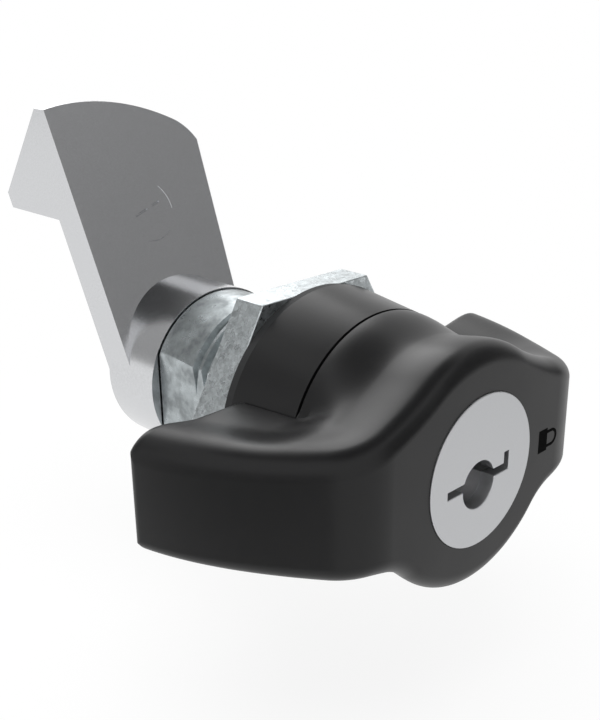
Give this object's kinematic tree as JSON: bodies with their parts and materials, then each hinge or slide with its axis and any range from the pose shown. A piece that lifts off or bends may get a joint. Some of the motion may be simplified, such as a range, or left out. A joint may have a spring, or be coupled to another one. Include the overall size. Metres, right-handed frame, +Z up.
{
  "type": "quarter-turn cam latch",
  "caption": "Quarter-turn cam latch with a key-locked wing knob, threaded double-D shank, hex panel nut and a leaning cast cam with a ramped nose.",
  "frame": {"origin": "on the latch axis, in the panel's front face, where the gasket is pressed", "axes": "+Y runs along the latch axis from the knob through the panel to the cam, +Z is up and points along the cam at rest, +X is right seen from the knob"},
  "size_m": [0.0522, 0.0677, 0.0448],
  "materials": {
    "knob_plastic": "satin black moulded polyamide",
    "drum_plastic": "satin black moulded polyamide",
    "rubber": "matt black rubber",
    "nut_zinc": "galvanised, spangled",
    "shank_zinc": "zinc-plated die casting",
    "cam_zinc": "satin zinc die casting",
    "face_chrome": "fine matt nickel",
    "steel": "zinc-plated steel",
    "bush_plastic": "natural acetal"
  },
  "bodies": {
    "base": {"housing": "shank_zinc", "drum_sleeve": "drum_plastic", "gasket": "rubber", "panel_nut": "nut_zinc", "front_bush": "bush_plastic", "rear_bush": "bush_plastic"},
    "knob": {"spindle": "steel", "spindle_seal": "rubber", "stop_pin": "steel", "thrust_washer": "steel", "circlip": "steel", "wing_knob": "knob_plastic", "knob_screws": "steel", "lock_barrel": "shank_zinc", "key_face": "face_chrome", "ward_plates": "steel", "detent_ball": "steel", "detent_spring": "steel", "cam": "cam_zinc", "cam_washer": "steel", "split_washer": "steel", "cam_screw": "steel"},
    "key_rotor": {"key_rotor": "steel", "spiral_cam": "shank_zinc", "rotor_screw": "steel"},
    "lock_bolt": {"lock_bolt": "shank_zinc", "bolt_pin": "steel"}
  },
  "joints": [
    {"name": "knob_turn", "type": "hinge", "parent": "base", "child": "knob", "pos_m": [0, 0, 0], "axis": [0, 1, 0], "range_deg": [0, 90]},
    {"name": "key_turn", "type": "hinge", "parent": "knob", "child": "key_rotor", "pos_m": [-0.0005, -0.015, -0.0013], "axis": [0, 1, 0], "range_deg": [0, 90]},
    {"name": "bolt_slide", "type": "slide", "parent": "knob", "child": "lock_bolt", "axis": [0, 0, 1], "range_m": [0, 0.002]}
  ],
  "couplings": [
    {"joint": "bolt_slide", "follows": "key_turn", "m_per_rad": 0.0012732}
  ]
}
